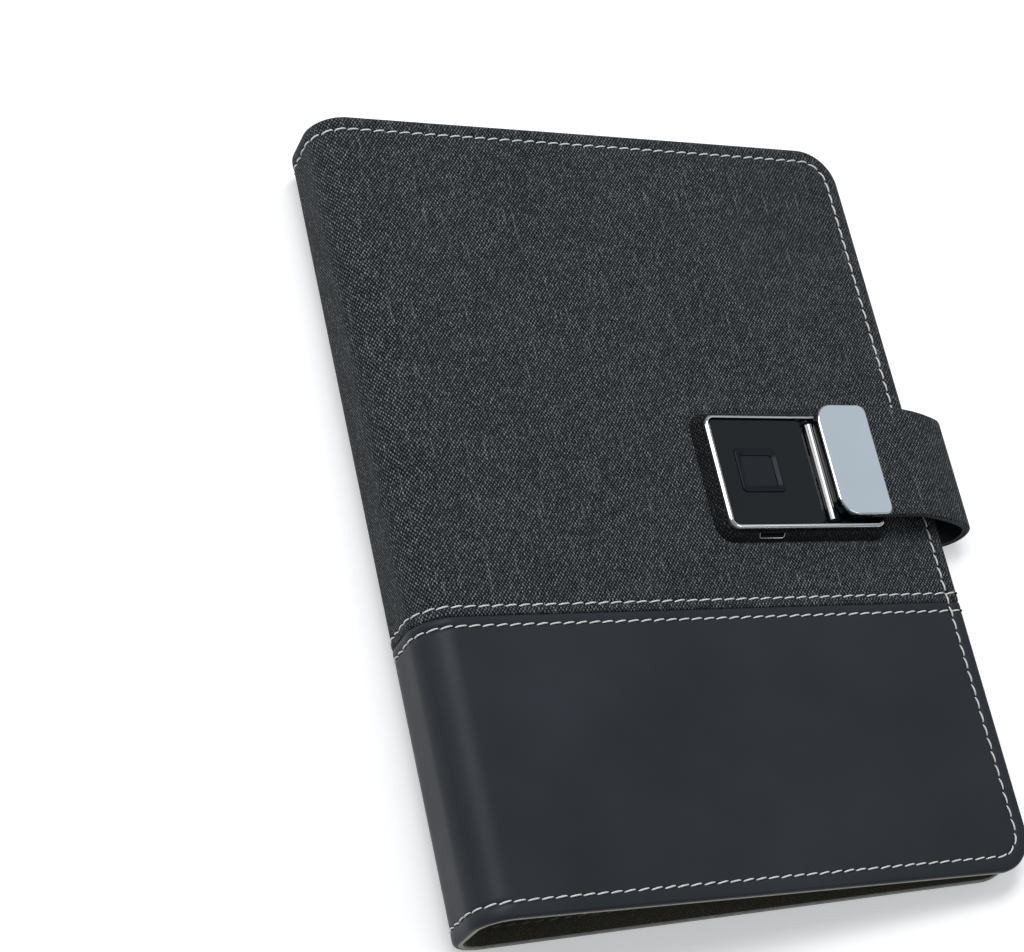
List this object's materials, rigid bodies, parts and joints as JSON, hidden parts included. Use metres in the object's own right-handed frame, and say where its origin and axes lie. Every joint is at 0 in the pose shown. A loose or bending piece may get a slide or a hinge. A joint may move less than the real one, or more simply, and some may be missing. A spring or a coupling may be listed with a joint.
{
  "type": "ring-binder diary with electronic lock",
  "caption": "Soft-cover ring-binder diary whose strap clasp is held by a fingerprint lock on the front cover",
  "frame": {"origin": "Middle of the back cover's outer face, on the plane the diary rests on.", "axes": "+X runs from the spine to the fore-edge, +Y from the tail edge to the head edge, +Z from the back cover up to the front cover. Closed and strapped at rest."},
  "size_m": [0.1841, 0.23, 0.0304],
  "materials": {
    "fabric": "woven charcoal melange, stitched",
    "leather": "smooth soft leatherette, rolled edge",
    "core": "grey board",
    "lining": "olive-brown lining cloth",
    "paper": "uncoated leaves",
    "chrome": "bright plated",
    "steel": "sprung sheet steel",
    "clasp": "mirror-flat plated plate",
    "gloss": "piano-black moulding",
    "matte": "moulded tray",
    "sensor": "coated sensor face",
    "board": "circuit board laminate",
    "battery": "foil pouch",
    "brass": "machined brass"
  },
  "bodies": {
    "back_cover": {"back_fabric": "fabric", "back_leather": "leather", "back_core": "core", "back_lining": "lining", "ring_base": "steel", "ring_rivets": "steel", "ring_housing": "chrome", "lever_pins": "steel", "page_block": "paper", "strap_root_fabric": "fabric", "strap_root_lining": "lining"},
    "spine": {"spine_fabric": "fabric", "spine_leather": "leather", "spine_core": "core", "spine_lining": "lining"},
    "front_cover": {"front_fabric": "fabric", "front_leather": "leather", "front_core": "core", "front_lining": "lining", "lock_tray": "matte", "lock_surround": "fabric", "lock_frame": "chrome", "lock_plate": "gloss", "sensor_bezel": "gloss", "fingerprint_sensor": "sensor", "latch_deck": "gloss", "lock_bar": "gloss", "lock_screws": "steel", "circuit_board": "board", "battery": "battery", "charging_socket": "steel", "latch_motor": "steel"},
    "left_rings": {"left_rings": "chrome"},
    "right_rings": {"right_rings": "chrome"},
    "head_lever": {"head_lever": "chrome"},
    "tail_lever": {"tail_lever": "chrome"},
    "latch_bolt": {"latch_bolt": "steel"},
    "motor_pinion": {"motor_pinion": "brass"},
    "strap_loop": {"strap_loop_fabric": "fabric", "strap_loop_lining": "lining"},
    "strap_arm": {"strap_arm_fabric": "fabric", "strap_arm_lining": "lining", "clasp_plate": "clasp", "clasp_body": "gloss", "clasp_tongue": "steel", "clasp_rivets": "steel"}
  },
  "joints": [
    {"name": "spine_fold", "type": "hinge", "parent": "back_cover", "child": "spine", "pos_m": [-0.08253, 0, 0.00322], "axis": [0, -1, 0], "range_deg": [0, 90]},
    {"name": "cover_fold", "type": "hinge", "parent": "spine", "child": "front_cover", "pos_m": [-0.08252, 0, 0.02805], "axis": [0, -1, 0], "range_deg": [0, 90]},
    {"name": "ring_open", "type": "hinge", "parent": "back_cover", "child": "left_rings", "pos_m": [-0.07255, 0, 0.0054], "axis": [0, -1, 0], "range_deg": [0, 12]},
    {"name": "right_ring_open", "type": "hinge", "parent": "back_cover", "child": "right_rings", "pos_m": [-0.05895, 0, 0.0054], "axis": [0, 1, 0], "range_deg": [0, 12]},
    {"name": "head_lever_press", "type": "hinge", "parent": "back_cover", "child": "head_lever", "pos_m": [-0.06575, 0.0902, 0.0056], "axis": [-1, 0, 0], "range_deg": [0, 22]},
    {"name": "tail_lever_press", "type": "hinge", "parent": "back_cover", "child": "tail_lever", "pos_m": [-0.06575, -0.0902, 0.0056], "axis": [1, 0, 0], "range_deg": [0, 22]},
    {"name": "strap_open", "type": "hinge", "parent": "back_cover", "child": "strap_loop", "pos_m": [0.09646, 0, 0.00255], "axis": [0, 1, 0], "range_deg": [0, 90]},
    {"name": "strap_bend", "type": "hinge", "parent": "strap_loop", "child": "strap_arm", "pos_m": [0.09675, 0, 0.01164], "axis": [0, 1, 0], "range_deg": [0, 82.64]},
    {"name": "bolt_slide", "type": "slide", "parent": "front_cover", "child": "latch_bolt", "axis": [-0.9917, 0, 0.1283], "range_m": [0, 0.0028]},
    {"name": "pinion_spin", "type": "hinge", "parent": "front_cover", "child": "motor_pinion", "pos_m": [0.04819, 0.00575, 0.0148], "axis": [0, -1, 0], "range_deg": [0, 107.45]}
  ],
  "couplings": [
    {"joint": "cover_fold", "follows": "spine_fold", "ratio": 1},
    {"joint": "right_ring_open", "follows": "ring_open", "ratio": 1},
    {"joint": "head_lever_press", "follows": "ring_open", "ratio": 1.8333},
    {"joint": "tail_lever_press", "follows": "ring_open", "ratio": 1.8333},
    {"joint": "strap_bend", "follows": "strap_open", "ratio": 0.91809},
    {"joint": "pinion_spin", "follows": "bolt_slide", "rad_per_m": 666.67}
  ]
}
